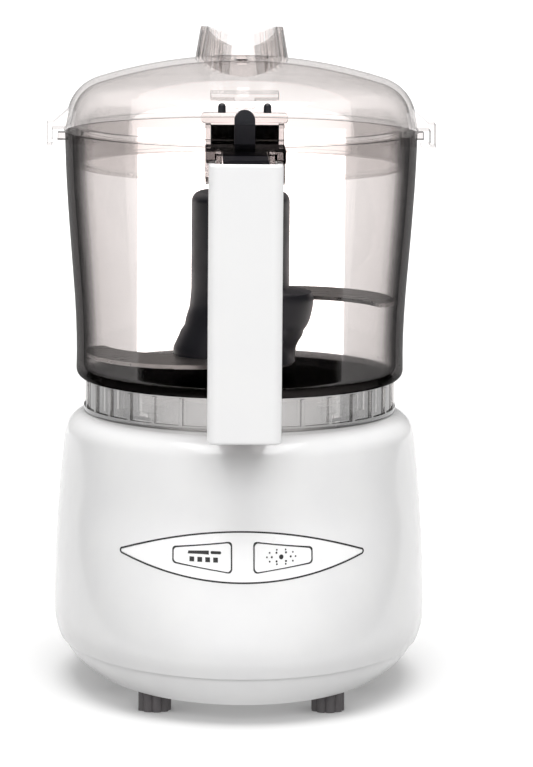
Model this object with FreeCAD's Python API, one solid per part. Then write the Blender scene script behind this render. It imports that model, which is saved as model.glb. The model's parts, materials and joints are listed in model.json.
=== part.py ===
import FreeCAD, Part
import math
import os

# A small two-key food processor, in millimetres. +Z is up, the handle and keys face -Y.
# Everything is drawn about the blade axis (x = 0, y = 0) and moved by AXIS_Y when it is written,
# so that the origin ends up on the ground under the middle of the whole object.

V = FreeCAD.Vector
os.makedirs("parts", exist_ok=True)

# ---- driving dimensions -------------------------------------------------------------------------
DECK_Z = 94.2            # top deck of the base, which the bowl stands on
SEAM_Z = 16.7            # seam between the base housing and the bottom cover
COVER_Z = 6.8            # underside of the bottom cover
WALL = 2.6               # wall of the base and of the bowl

HALF_WIDE = 66.1         # half width of the base where it is widest
WIDE_Z = 26.0
SHOULDER_R = 8.0         # rounding between the deck and the sides
SHOULDER_HALF = 62.8     # half width just under the shoulder
STRETCH_FRONT = 40.0     # how much further the base reaches forward than sideways, low down
STRETCH_BACK = 11.6
STRETCH_FALL = 68.0      # height over which the front slopes out
CREASE_Z = 66.0          # soft crease where the steeper upper wall meets the front slope
CREASE_SHARE = 0.55      # how much less the front draws in above the crease than below it
CREASE_SOFT = 4.0        # how softly the two slopes meet
BODY_LEVELS = [81, 75, 70, 66, 62, 57, 50, 42, 35, 30, 26, 21]
COVER_LEVELS = [SEAM_Z, 14.0, 11.0, 8.6, COVER_Z]
COVER_STEP = 1.6         # how far the cover stands in from the housing at the seam
COVER_TUCK = (8.6, 3.4, 3.0)   # how far it draws in below the seam: sides, front, back

BOWL_TOP_Z = 194.3
BOWL_FLOOR_Z = 106.0
BOWL_TOP_R = 62.9
BOWL_FLOOR_R = 58.7
BOWL_SIDE = [(59.0, 130.0), (60.6, 152.0), (62.1, 173.0)]   # r and z down the bowl's gently curved side
BOWL_TUBE_R = 9.4
BOWL_TUBE_TOP_Z = 150.0
RING_R = 56.0            # ribbed locking ring under the bowl
RING_WALL = 2.4
RING_BOTTOM_Z = DECK_Z + 0.2
RING_RIBS = 32
BOSS_R = 50.0            # raised boss on the deck, inside the locking ring
BOSS_TOP_Z = 103.6
LUGS = 4                 # bayonet lugs on the boss and inside the ring

LID_EDGE_Z = 194.7
LID_EDGE_R = 63.4
LID_TOP_Z = 221.3
LID_WALL = 2.0
COLLAR_R = 59.3          # plug collar of the lid, inside the bowl
COLLAR_Z = 181.8
CUP_BASE = (16.6, 40.0)  # half width and half depth of the cup where it meets the lid
CUP_RIM = (14.7, 37.0)
CUP_PEAK_Z = 231.6
CUP_DIP = 4.9            # how much lower the cup's rim is at its front and back
EAR_R = 69.3
COLLAR_BEAD = 1.1        # radius of the round bead at the collar's lower edge
CAM_HALF = 11.7          # shelf on the lid's front, over the interlock tongue
CAM_FRONT = 70.5
CAM_Z = (211.0, 213.2)

HANDLE_HALF = 12.5
HANDLE_FRONT = 104.0
HANDLE_SPLIT = 94.5
HANDLE_BACK = 87.5
HANDLE_Z = (97.6, 192.3)
HANDLE_ROUND = 3.2
HANDLE_END_ROUND = 0.9
ARM_HALF = 13.4          # clear arms that carry the handle
ARM_TOP_Z = 196.5
ARM_FLOOR_Z = 184.0
FOOT_ARM_HALF = 9.0
ROD_HALF = 3.5
ROD_Y = (98.0, 95.0)     # upright leg of the interlock rod, measured forward
TONGUE_Y = (69.2, 66.2)
TONGUE_TOP_Z = 207.7
ROD_BAR_Z = (104.1, 106.9)      # bar from the rod's leg to its foot, inside the lower arm
ROD_FOOT_Z = 98.4        # underside of the rod's foot, over the base interlock pin
PIN_Y = 60.2             # base interlock pin, measured forward
PIN_R = 1.8
PIN_Z = (78.0, 97.6)
PIN_FLANGE_Z = (83.4, 85.0)

HUB_R = 17.6
HUB_Z = (111.0, 173.0)
BLADE_TIP_R = 55.6
BLADE_T = 1.4
UPPER_BLADE_Z = 133.5
LOWER_BLADE_Z = 113.2

MODULE = 0.8
PINION_TEETH = 14
GEAR_TEETH = 46
MOTOR_Y = MODULE * (PINION_TEETH + GEAR_TEETH) / 2
PRESSURE = math.radians(25.0)
PLATE_Z = (63.0, 66.5)
GEAR_Z = (70.0, 77.0)
SHAFT_R = 2.5
SPINDLE_R = 4.0
RUN = 0.05               # radial running clearance of shafts in their bearings

PANEL_Y = 87.9           # middle of the control panel, measured forward
PANEL_Z = 56.2
PANEL_TILT = math.radians(30.6)
PANEL_HALF = 42.0        # almond outline of the panel: half width, and heights over and under its middle
PANEL_UP = 7.9
PANEL_DOWN = 8.1
PANEL_TIP = -0.9
PANEL_DEPTH = 24.0       # how far the almond is cut back through the slope
PANEL_THICK = 1.2
KEY_IN = (4.1, 4.4, -4.8)       # end of a key towards the middle: across, top and bottom height
KEY_OUT = (23.6, 2.1, -2.2)     # and its outer end
KEY_ROUND = 1.2
KEY_DEPTH = 15.0
KEY_WALL = 2.4
KEY_GAP = 0.5            # room round a key in the panel
KEY_RISE = 0.3           # how far the keys stand out of the panel
PANEL_NORMAL = V(0, -math.cos(PANEL_TILT), math.sin(PANEL_TILT))

FEET = [(-30.0, -74.0), (30.0, -74.0), (-30.0, 50.0), (30.0, 50.0)]
FOOT_R = 5.8             # rubber foot, over its lobes
FOOT_LOBES = 9
FOOT_LOBE_R = 1.75
FOOT_TOP_Z = 6.6
MOTOR_SCREW_X = 26.0
STACK_Z = (30.0, 48.0)   # steel laminations of the motor
BRUSH_HALF = 2.0
BRUSH_REACH = (7.2, 13.0)
BRUSH_Z = (21.4, 24.0)
BEARING_R = 5.5
LOWER_BEARING_Z = (14.6, 19.0)
BUSH_R = 6.0
NOSE_BORE_R = 6.5        # bore of the boss's nose, round the upper bush and the seal
SEAL_Z = 102.0
COUPLING_Z = (126.0, 161.0)
SPINDLE_TOP_Z = 140.0
PLATE_POSTS = [(-31.0, -16.0), (31.0, -16.0), (-31.0, 42.0), (31.0, 42.0)]
COVER_SCREWS = [(-44.0, -40.0), (44.0, -40.0), (-40.0, 42.0), (40.0, 42.0)]
HANDLE_POSTS = [(6.5, 128.0), (6.5, 168.0)]     # x and z of the handle's screw posts
GLAND_Z = 30.0
GLAND_BACK = 78.4
GLAND_R = 3.6
AXIS_Y = (HANDLE_FRONT - GLAND_BACK) / 2


# ---- small tools --------------------------------------------------------------------------------
def cyl(r, z0, z1, x=0.0, y=0.0):
    return Part.makeCylinder(r, z1 - z0, V(x, y, z0))


def ring(r_out, r_in, z0, z1, x=0.0, y=0.0):
    return cyl(r_out, z0, z1, x, y).cut(cyl(r_in, z0 - 1, z1 + 1, x, y))


def box(x0, x1, y0, y1, z0, z1):
    return Part.makeBox(x1 - x0, y1 - y0, z1 - z0, V(x0, y0, z0))


def fuse(shapes):
    out = shapes[0]
    for shape in shapes[1:]:
        out = out.fuse(shape)
    return out.removeSplitter()


def cut(shape, tools):
    for tool in tools:
        shape = shape.cut(tool)
    return shape


def turned(edges):
    """Solid of revolution about the blade axis from edges that close a profile in the XZ plane."""
    face = Part.Face(Part.Wire(edges))
    return face.revolve(V(0, 0, 0), V(0, 0, 1), 360)


def at(r, z):
    return V(r, 0, z)


def line(a, b):
    return Part.LineSegment(a, b).toShape()


def arc(a, m, b):
    return Part.Arc(a, m, b).toShape()


def curve(points):
    """Smooth edge through points."""
    spline = Part.BSplineCurve()
    spline.interpolate(points)
    return spline.toShape()


def polar(shape, count, start=0.0):
    """The shape repeated about the blade axis."""
    copies = []
    for i in range(count):
        copy = shape.copy()
        copy.rotate(V(0, 0, 0), V(0, 0, 1), start + 360.0 * i / count)
        copies.append(copy)
    return copies


def turn(shape, degrees):
    out = shape.copy()
    out.rotate(V(0, 0, 0), V(0, 0, 1), degrees)
    return out


def wedge(r_out, r_in, z0, z1, half_deg):
    """Sector of a ring, its middle on +X."""
    sector = Part.makeCylinder(r_out, z1 - z0, V(0, 0, z0), V(0, 0, 1), 2 * half_deg)
    sector.rotate(V(0, 0, 0), V(0, 0, 1), -half_deg)
    return sector.cut(cyl(r_in, z0 - 1, z1 + 1))


def prism(points, z0, z1):
    pts = [V(x, y, z0) for x, y in points]
    wire = Part.makePolygon(pts + [pts[0]])
    return Part.Face(wire).extrude(V(0, 0, z1 - z0))


def spring(r, wire_r, z0, z1, turns, x=0.0, y=0.0):
    helix = Part.makeHelix((z1 - z0 - 2 * wire_r) / turns, z1 - z0 - 2 * wire_r, r)
    disc = Part.Wire(Part.makeCircle(wire_r, V(r, 0, 0), V(0, 1, 0)))
    coil = Part.Wire(helix.Edges).makePipeShell([disc], True, True)
    coil.translate(V(x, y, z0 + wire_r))
    return coil


def save(name, shape):
    moved = shape.copy()
    moved.translate(V(0, AXIS_Y, 0))
    moved.exportStep("parts/" + name + ".step")


# ---- base ---------------------------------------------------------------------------------------
def section(z, half, front, back, inset):
    """One smooth closed horizontal outline of the base."""
    y_mid = (back - front) / 2
    points = []
    for i in range(24):
        t = 2 * math.pi * i / 24
        points.append(V((half - inset) * math.cos(t), y_mid + ((back + front) / 2 - inset) * math.sin(t), z))
    curve = Part.BSplineCurve()
    curve.interpolate(points, PeriodicFlag=True)
    return Part.Wire(curve.toShape())


def housing_half(z):
    """Half width of the housing at a height below the shoulder."""
    if z >= WIDE_Z:
        u = (z - WIDE_Z) / (DECK_Z - SHOULDER_R - WIDE_Z)
        return HALF_WIDE - (HALF_WIDE - SHOULDER_HALF) * u * u
    return HALF_WIDE - 1.9 * ((WIDE_Z - z) / (WIDE_Z - SEAM_Z)) ** 2


def stretch(z):
    """Share of the forward reach: small at the deck, growing down the slope, then levelling off."""
    above = z - CREASE_Z
    held_out = CREASE_SHARE * (above + math.hypot(above, CREASE_SOFT)) / 2
    fall = (DECK_Z - z + held_out) / STRETCH_FALL
    return fall / (1 + fall ** 8) ** 0.125


def housing_sections():
    """Height, half width, reach forward and reach back, from the deck to the seam."""
    rows = []
    for degrees in (90, 72, 54, 36, 18, 0):
        a = math.radians(degrees)
        z = DECK_Z - SHOULDER_R + SHOULDER_R * math.sin(a)
        rows.append((z, SHOULDER_HALF - SHOULDER_R + SHOULDER_R * math.cos(a)))
    rows += [(z, housing_half(z)) for z in BODY_LEVELS + [SEAM_Z]]
    return [(z, half, half + STRETCH_FRONT * stretch(z), half + STRETCH_BACK * stretch(z))
            for z, half in rows]


def cover_sections():
    top, half, front, back = housing_sections()[-1]
    rows = []
    for z in COVER_LEVELS:
        tuck = ((top - z) / (top - COVER_Z)) ** 2
        rows.append((z, half - COVER_STEP - COVER_TUCK[0] * tuck, front - COVER_STEP - COVER_TUCK[1] * tuck,
                     back - COVER_STEP - COVER_TUCK[2] * tuck))
    return rows


def base_body(sections, inset, low=0.0, high=0.0):
    """Solid lofted through the sections, drawn in by inset, with its end faces moved."""
    wires = []
    last = len(sections) - 1
    for i, (z, half, front, back) in enumerate(sections):
        z = z - high if i == 0 else z
        z = z - low if i == last else z
        wires.append(section(z, half, front, back, inset))
    return Part.makeLoft(wires, True, False)


def housing_solid(inset, low=0.0):
    """The housing's outside, or with an inset the space a wall's thickness inside it."""
    sections = housing_sections()
    if inset > 0:
        sections = [row for row in sections if row[0] < DECK_Z - inset - 0.4]
        z, half, front, back = sections[0]
        shrink = SHOULDER_R * 0.45
        sections.insert(0, (DECK_Z - inset, half - shrink, front - shrink, back - shrink))
    return base_body(sections, inset, low=low)


def panel_prism(outline, depth):
    """Prism of an upright outline, running straight back through the panel's slope."""
    solid = Part.Face(Part.Wire(outline)).extrude(V(0, 2 * depth, 0))
    solid.translate(V(0, -PANEL_Y - depth, PANEL_Z))
    return solid


def almond(shrink=0.0):
    tip = PANEL_HALF - shrink
    left, right = V(-tip, 0, PANEL_TIP), V(tip, 0, PANEL_TIP)
    top = Part.Arc(left, V(0, 0, PANEL_UP - shrink), right).toShape()
    bottom = Part.Arc(right, V(0, 0, shrink - PANEL_DOWN), left).toShape()
    return panel_prism([top, bottom], PANEL_DEPTH)


def key_prism(side, grow=0.0):
    """Four-sided key with rounded corners, taller towards the middle of the panel."""
    inner, outer = side * (KEY_IN[0] - grow), side * (KEY_OUT[0] + grow)
    corners = [V(inner, 0, KEY_IN[2] - grow), V(inner, 0, KEY_IN[1] + grow)]
    corners += [V(outer, 0, KEY_OUT[1] + grow), V(outer, 0, KEY_OUT[2] - grow)]
    solid = panel_prism(Part.makePolygon(corners + [corners[0]]).Edges, KEY_DEPTH)
    return solid.makeFillet(KEY_ROUND, [e for e in solid.Edges if e.BoundBox.YLength > KEY_DEPTH])


HOUSING = housing_solid(0.0)


def base_housing():
    inner = housing_solid(WALL, low=2.0)
    boss = fuse([cyl(BOSS_R, DECK_Z - 0.5, BOSS_TOP_Z)]
                + polar(wedge(52.6, BOSS_R - 1, 99.6, 101.8, 13), LUGS, 45))
    boss = boss.cut(cyl(BOSS_R - WALL, DECK_Z - 4, BOSS_TOP_Z - WALL))
    shell = HOUSING.cut(inner)
    shell = shell.cut(cyl(BOSS_R - WALL, DECK_Z - 4, BOSS_TOP_Z - WALL))
    nose = cyl(NOSE_BORE_R + 4, 92.0, BOSS_TOP_Z + 1.4).cut(cyl(NOSE_BORE_R, 90.0, 110.0))
    posts = []
    for x, y in PLATE_POSTS:
        under_boss = math.hypot(x, y) < BOSS_R - WALL - 4
        posts.append(cyl(3.6, PLATE_Z[1], (BOSS_TOP_Z if under_boss else DECK_Z) - 1, x, y))
    shell = fuse([shell, boss, nose] + posts)
    holes = [cyl(NOSE_BORE_R, 90, 120), cyl(PIN_R + 0.2, 85, 110, 0, -PIN_Y)]
    holes += [cyl(1.2, PLATE_Z[1] - 1, PLATE_Z[1] + 12, x, y) for x, y in PLATE_POSTS]
    holes.append(Part.makeCylinder(6.0, 20, V(0, GLAND_BACK - 16, GLAND_Z), V(0, 1, 0)))
    shell = cut(shell, holes)
    pocket = HOUSING.common(almond()).cut(housing_solid(PANEL_THICK))
    shell = shell.cut(pocket)
    for side in (-1, 1):
        shell = shell.cut(key_prism(side, KEY_GAP + 0.15))
    return shell


def control_panel():
    plate = HOUSING.common(almond(0.08)).cut(housing_solid(PANEL_THICK))
    for side in (-1, 1):
        plate = plate.cut(key_prism(side, KEY_GAP))
    return plate


def key(side):
    cap = housing_solid(-KEY_RISE).common(key_prism(side)).cut(housing_solid(KEY_WALL))
    stem = Part.makeCylinder(2.0, 4.6, key_point(side, -6.6), PANEL_NORMAL)
    return fuse([cap, stem])


def key_point(side, out):
    """Point on a key's stem axis, out along the panel normal."""
    return V(side * 13.0, -PANEL_Y, PANEL_Z) + PANEL_NORMAL * out


def panel_box(x0, x1, up0, up1, out0, out1):
    """Box in the panel's own directions: across, up the slope, and out along the normal."""
    solid = box(x0, x1, up0, up1, out0, out1)
    solid.rotate(V(0, 0, 0), V(1, 0, 0), 90 - math.degrees(PANEL_TILT))
    solid.translate(V(0, -PANEL_Y, PANEL_Z))
    return solid


def circuit_board():
    return panel_box(-28, 28, -9, 12, -13.6, -12.0)


def key_switches():
    out = []
    for side in (-1, 1):
        x = side * 13.0
        body = panel_box(x - 3, x + 3, -3, 3, -12.0, -8.4)
        out.append(fuse([body, Part.makeCylinder(1.5, 1.1, key_point(side, -8.4), PANEL_NORMAL)]))
    return Part.makeCompound(out)


def bottom_cover():
    sections = cover_sections()
    shell = base_body(sections, 0.0).cut(base_body(sections, WALL, low=-WALL, high=-2.0))
    rim, rim_in = [section(SEAM_Z, *sections[0][1:], inset) for inset in (1.6, 3.2)]
    lip = Part.Face(rim).extrude(V(0, 0, 3)).cut(Part.Face(rim_in).extrude(V(0, 0, 3)))
    lip.translate(V(0, 0, -1.0))
    posts = [cyl(3.4, COVER_Z + 1, 15.0, x, y) for x, y in COVER_SCREWS]
    shell = fuse([shell, lip] + posts)
    holes = [cyl(2.7, 0, 15, x, y) for x, y in FEET]
    holes += [cyl(1.6, 0, 20, x, y) for x, y in COVER_SCREWS]
    holes += [cyl(2.9, 0, COVER_Z + 2.4, x, y) for x, y in COVER_SCREWS]
    for i in range(5):
        holes.append(box(-14, 14, 10 + 7 * i, 13 + 7 * i, 0, 12))
    return cut(shell, holes)


def bottom_screws():
    out = []
    for x, y in COVER_SCREWS:
        head = cyl(2.7, COVER_Z + 0.4, COVER_Z + 2.4, x, y)
        out.append(fuse([head, cyl(1.4, COVER_Z + 2, 19.0, x, y)]))
    return Part.makeCompound(out)


def foot(x, y):
    """Lobed rubber foot with a stem and a bead that snap into the bottom cover."""
    reach = FOOT_R - FOOT_LOBE_R
    lobes = []
    for i in range(FOOT_LOBES):
        a = 2 * math.pi * i / FOOT_LOBES
        lobes.append(cyl(FOOT_LOBE_R, 0, FOOT_TOP_Z, x + reach * math.cos(a), y + reach * math.sin(a)))
    core = cyl(reach + 0.15, 0, FOOT_TOP_Z, x, y)
    stem = cyl(2.6, FOOT_TOP_Z - 0.6, COVER_Z + WALL + 0.2, x, y)
    bead = Part.makeCone(3.2, 2.2, 1.6, V(x, y, COVER_Z + WALL + 0.1))
    return fuse([core, stem, bead] + lobes)


def cord_gland():
    body = Part.makeCylinder(5.9, 15.0, V(0, GLAND_BACK - 15.0, GLAND_Z), V(0, 1, 0))
    flange = Part.makeCylinder(7.6, 1.6, V(0, GLAND_BACK - 1.6, GLAND_Z), V(0, 1, 0))
    flange = flange.cut(HOUSING)
    bore = Part.makeCylinder(GLAND_R, 30.0, V(0, GLAND_BACK - 22.0, GLAND_Z), V(0, 1, 0))
    return fuse([body, flange]).cut(bore)


# ---- motor and gears ----------------------------------------------------------------------------
def gear(teeth, z0, z1, bore, backlash=0.12):
    """Spur gear with involute flanks, one tooth centred on +X."""
    pitch_r = MODULE * teeth / 2
    base_r = pitch_r * math.cos(PRESSURE)
    tip_r = pitch_r + 0.8 * MODULE
    root_r = pitch_r - 1.1 * MODULE
    inv = math.tan(PRESSURE) - PRESSURE
    half_pitch = math.pi / (2 * teeth) - backlash / (2 * pitch_r)
    points = []
    steps = 5
    for i in range(teeth):
        centre = 2 * math.pi * i / teeth
        flank = []
        for k in range(steps):
            r = max(base_r, root_r) + (tip_r - max(base_r, root_r)) * k / (steps - 1)
            alpha = math.acos(min(1.0, base_r / r))
            flank.append((r, half_pitch + inv - (math.tan(alpha) - alpha)))
        points.append((root_r, centre - flank[0][1]))
        points += [(r, centre - a) for r, a in flank]
        points += [(r, centre + a) for r, a in reversed(flank)]
        points.append((root_r, centre + flank[0][1]))
    outline = [(r * math.cos(a), r * math.sin(a)) for r, a in points]
    return prism(outline, z0, z1).cut(cyl(bore, z0 - 1, z1 + 1))


def driven_gear():
    wheel = turn(gear(GEAR_TEETH, GEAR_Z[0], GEAR_Z[1], SPINDLE_R), 90)
    hub = ring(7.5, SPINDLE_R, GEAR_Z[0] - 1.5, GEAR_Z[1] + 4)
    pockets = [turn(cyl(3.6, GEAR_Z[0] - 2, GEAR_Z[1] + 2, 12.6, 0), 60 * i) for i in range(6)]
    return cut(fuse([wheel, hub]), pockets)


def motor_pinion():
    wheel = gear(PINION_TEETH, GEAR_Z[0] - 1.0, GEAR_Z[1] + 1.0, SHAFT_R)
    wheel.rotate(V(0, 0, 0), V(0, 0, 1), -90 + 180.0 / PINION_TEETH)
    wheel.translate(V(0, MOTOR_Y, 0))
    return wheel


def gear_plate():
    plate = box(-36, 36, -24, 50, PLATE_Z[0], PLATE_Z[1])
    plate = plate.makeFillet(8.0, [e for e in plate.Edges if abs(e.BoundBox.ZLength) > 3])
    boss = cyl(9.0, PLATE_Z[0] - 6, PLATE_Z[1])
    cup = cyl(7.6, PLATE_Z[0] - 3, PLATE_Z[1], 0, MOTOR_Y)
    plate = fuse([plate, boss, cup])
    holes = [cyl(6.0, 50, 70), cyl(5.5, PLATE_Z[0] - 1.5, 70, 0, MOTOR_Y), cyl(3.0, 50, 70, 0, MOTOR_Y)]
    holes += [cyl(1.7, 60, 70, x, y) for x, y in PLATE_POSTS]
    holes += [cyl(1.7, 60, 70, x, MOTOR_Y) for x in (-MOTOR_SCREW_X, MOTOR_SCREW_X)]
    return cut(plate, holes)


def plate_screws():
    out = []
    for x, y in PLATE_POSTS:
        head = cyl(3.0, PLATE_Z[0] - 2.2, PLATE_Z[0], x, y)
        out.append(fuse([head, cyl(1.2, PLATE_Z[0] - 1, PLATE_Z[1] + 10, x, y)]))
    return Part.makeCompound(out)


def stator_core():
    block = box(-22, 22, MOTOR_Y - 20, MOTOR_Y + 20, *STACK_Z)
    block = block.makeFillet(7.0, [e for e in block.Edges if abs(e.BoundBox.ZLength) > 3])
    slots = [cyl(13.0, 20, 60, 0, MOTOR_Y)]
    slots += [box(-15, 15, MOTOR_Y + s - 3.5, MOTOR_Y + s + 3.5, 20, 60) for s in (-11.5, 11.5)]
    return cut(block, slots)


def field_coils():
    out = []
    for side in (-1, 1):
        for z0, z1 in ((48.3, 53.5), (24.5, 29.7)):
            coil = wedge(20.5, 14.5, z0, z1, 48)
            coil.rotate(V(0, 0, 0), V(0, 0, 1), 90 + 90 * side)
            coil.translate(V(0, MOTOR_Y, 0))
            out.append(coil)
    return Part.makeCompound(out)


def armature():
    core = cyl(12.2, *STACK_Z, 0, MOTOR_Y)
    for i in range(12):
        slot = box(8.6, 13, -0.8, 0.8, 29, 49)
        slot.rotate(V(0, 0, 0), V(0, 0, 1), 30 * i)
        slot.translate(V(0, MOTOR_Y, 0))
        core = core.cut(slot)
    ends = [cyl(10.5, STACK_Z[1], 52.5, 0, MOTOR_Y), cyl(10.0, 27.0, STACK_Z[0], 0, MOTOR_Y)]
    return fuse([core] + ends).cut(cyl(SHAFT_R, 10, 60, 0, MOTOR_Y))


def commutator():
    body = ring(7.0, SHAFT_R, 20.5, 26.8, 0, MOTOR_Y)
    for i in range(12):
        slot = box(6.2, 8, -0.25, 0.25, 20, 27)
        slot.rotate(V(0, 0, 0), V(0, 0, 1), 30 * i)
        slot.translate(V(0, MOTOR_Y, 0))
        body = body.cut(slot)
    return body


def brushes():
    out = []
    for side in (-1, 1):
        y0, y1 = sorted(MOTOR_Y + side * reach for reach in BRUSH_REACH)
        out.append(box(-BRUSH_HALF, BRUSH_HALF, y0, y1, *BRUSH_Z))
    return Part.makeCompound(out)


def motor_end_bracket():
    plate = box(-29, 29, MOTOR_Y - 15, MOTOR_Y + 15, 17.2, 19.6)
    plate = plate.makeFillet(5.0, [e for e in plate.Edges if abs(e.BoundBox.ZLength) > 2])
    cup = cyl(7.0, 13.0, 18, 0, MOTOR_Y)
    holders = []
    for side in (-1, 1):
        y0, y1 = sorted((MOTOR_Y + side * 9.0, MOTOR_Y + side * 14.5))
        holders.append(box(-3.4, 3.4, y0, y1, 19, 24.2))
    legs = [ring(3.4, 1.7, 19, PLATE_Z[0], x, MOTOR_Y) for x in (-MOTOR_SCREW_X, MOTOR_SCREW_X)]
    bracket = fuse([plate, cup] + holders + legs)
    holes = [cyl(5.5, 14.6, 21, 0, MOTOR_Y), cyl(3.0, 10, 21, 0, MOTOR_Y)]
    holes += [cyl(1.7, 10, 70, x, MOTOR_Y) for x in (-MOTOR_SCREW_X, MOTOR_SCREW_X)]
    holes.append(box(-BRUSH_HALF, BRUSH_HALF, MOTOR_Y - BRUSH_REACH[1], MOTOR_Y + BRUSH_REACH[1], *BRUSH_Z))
    return cut(bracket, holes)


def motor_screws():
    out = []
    for x in (-MOTOR_SCREW_X, MOTOR_SCREW_X):
        head = cyl(3.0, 15.0, 17.2, x, MOTOR_Y)
        out.append(fuse([head, cyl(1.6, 17, PLATE_Z[1] + 2, x, MOTOR_Y)]))
    return Part.makeCompound(out)


def bush(r_out, shaft_r, z0, z1, y=0.0):
    """Bearing, bush or seal round a shaft."""
    return ring(r_out, shaft_r + RUN, z0, z1, 0, y)


def drive_flat():
    """What the flat on the spindle's top takes away, and the coupling's bore keeps."""
    return box(-6, 6, SPINDLE_R - 0.9, SPINDLE_R + 1, COUPLING_Z[0] + 2, SPINDLE_TOP_Z + 1)


def drive_spindle():
    shaft = cyl(SPINDLE_R, PLATE_Z[0] - 8, SPINDLE_TOP_Z)
    tail = Part.makeCone(SPINDLE_R - 0.8, SPINDLE_R, 0.8, V(0, 0, PLATE_Z[0] - 8.8))
    return fuse([shaft, tail]).cut(drive_flat())


def hexagon(across, z0, z1):
    r = across / math.sqrt(3)
    return prism([(r * math.cos(math.radians(60 * i)), r * math.sin(math.radians(60 * i))) for i in range(6)],
                 z0, z1)


def drive_coupling():
    body = fuse([cyl(6.6, COUPLING_Z[0], BOWL_TUBE_TOP_Z), hexagon(9.0, BOWL_TUBE_TOP_Z, COUPLING_Z[1])])
    return body.cut(cyl(SPINDLE_R, COUPLING_Z[0] - 6, SPINDLE_TOP_Z).cut(drive_flat()))


# ---- interlock in the base ----------------------------------------------------------------------
def base_interlock_pin():
    stem = cyl(PIN_R, *PIN_Z, 0, -PIN_Y)
    flange = cyl(3.0, *PIN_FLANGE_Z, 0, -PIN_Y)
    return fuse([stem, flange])


def interlock_switch():
    shelf = box(-9, 9, -PIN_Y - 4.2, -PIN_Y + 9, 70.0, 73.4)
    return fuse([shelf, ring(3.6, PIN_R + 0.3, 73.4, 75.4, 0, -PIN_Y)])


# ---- bowl ---------------------------------------------------------------------------------------
def bowl_body():
    r_in_top, r_in_floor = BOWL_TOP_R - WALL, BOWL_FLOOR_R - WALL
    floor = BOWL_FLOOR_Z + WALL
    side_in = [at(r - WALL, z) for r, z in reversed(BOWL_SIDE)]
    edges = [
        line(at(BOWL_TUBE_R - 2, BOWL_FLOOR_Z), at(BOWL_FLOOR_R - 3.4, BOWL_FLOOR_Z)),
        arc(at(BOWL_FLOOR_R - 3.4, BOWL_FLOOR_Z), at(BOWL_FLOOR_R - 0.95, BOWL_FLOOR_Z + 1.0),
            at(BOWL_FLOOR_R, BOWL_FLOOR_Z + 3.4)),
        curve([at(BOWL_FLOOR_R, BOWL_FLOOR_Z + 3.4)] + [at(r, z) for r, z in BOWL_SIDE]
              + [at(BOWL_TOP_R, BOWL_TOP_Z)]),
        line(at(BOWL_TOP_R, BOWL_TOP_Z), at(r_in_top, BOWL_TOP_Z)),
        curve([at(r_in_top, BOWL_TOP_Z)] + side_in + [at(r_in_floor, floor + 2.0)]),
        arc(at(r_in_floor, floor + 2.0), at(r_in_floor - 0.6, floor + 0.6), at(r_in_floor - 2.0, floor)),
        line(at(r_in_floor - 2.0, floor), at(BOWL_TUBE_R, floor)),
        line(at(BOWL_TUBE_R, floor), at(BOWL_TUBE_R - 0.4, BOWL_TUBE_TOP_Z)),
        line(at(BOWL_TUBE_R - 0.4, BOWL_TUBE_TOP_Z), at(BOWL_TUBE_R - 2, BOWL_TUBE_TOP_Z)),
        line(at(BOWL_TUBE_R - 2, BOWL_TUBE_TOP_Z), at(BOWL_TUBE_R - 2, BOWL_FLOOR_Z)),
    ]
    return turned(edges)


def inside_bowl():
    """Everything within the bowl's inner wall, to trim what is joined to the bowl from outside."""
    edges = [
        line(at(0, 80), at(BOWL_FLOOR_R - 1.2, 80)),
        line(at(BOWL_FLOOR_R - 1.2, 80), at(BOWL_TOP_R - 1.2, BOWL_TOP_Z)),
        line(at(BOWL_TOP_R - 1.2, BOWL_TOP_Z), at(LID_EDGE_R + 0.5, BOWL_TOP_Z)),
        line(at(LID_EDGE_R + 0.5, BOWL_TOP_Z), at(LID_EDGE_R + 0.5, 230)),
        line(at(LID_EDGE_R + 0.5, 230), at(0, 230)),
        line(at(0, 230), at(0, 80)),
    ]
    return turned(edges)


def upper_arm():
    """Clear channel that carries the handle's top, with the tower that stands in front of the lid."""
    arm = box(-ARM_HALF, ARM_HALF, -HANDLE_BACK + 0.1, -55, ARM_FLOOR_Z, ARM_TOP_Z)
    cap = box(-ARM_HALF, ARM_HALF, -101.5, -HANDLE_BACK - 1, HANDLE_Z[1] + 0.2, ARM_TOP_Z)
    plug = box(-9.9, 9.9, -92.5, -HANDLE_BACK - 1, ARM_FLOOR_Z + 0.3, ARM_TOP_Z)
    neck = box(-9.9, 9.9, -HANDLE_BACK - 1.2, -HANDLE_BACK + 1, ARM_FLOOR_Z + 0.3, ARM_TOP_Z)
    tower = box(-ARM_HALF, ARM_HALF, -74.0, -64.0, ARM_TOP_Z - 1, 203.0)
    bar = box(-14.8, 14.8, -66.0, -63.0, 203.0, 206.4)
    bar = bar.makeFillet(1.2, [e for e in bar.Edges if abs(e.BoundBox.YLength) > 2])
    arm = fuse([arm, cap, plug, neck, tower, bar])
    channel = box(-8.1, 8.1, -99.7, -61.5, ARM_FLOOR_Z + 2, ARM_TOP_Z - 1.7)
    over = box(-10.4, 10.4, -99.7, -92.0, ARM_FLOOR_Z, ARM_TOP_Z - 1.7)
    well = box(-11.6, 11.6, -72.2, -65.4, ARM_TOP_Z - 2, 210.0)
    return cut(arm, [channel, over, well])


def lower_arm():
    arm = box(-FOOT_ARM_HALF, FOOT_ARM_HALF, -HANDLE_BACK + 0.1, -50, 98.0, 110.0)
    tail = box(-8.0, 8.0, -92.5, -HANDLE_BACK + 1, 100.4, 110.0 - 0.4)
    channel = box(-4.2, 4.2, -95, -57.6, 97.0, 107.2)
    return fuse([arm, tail]).cut(channel)


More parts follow.
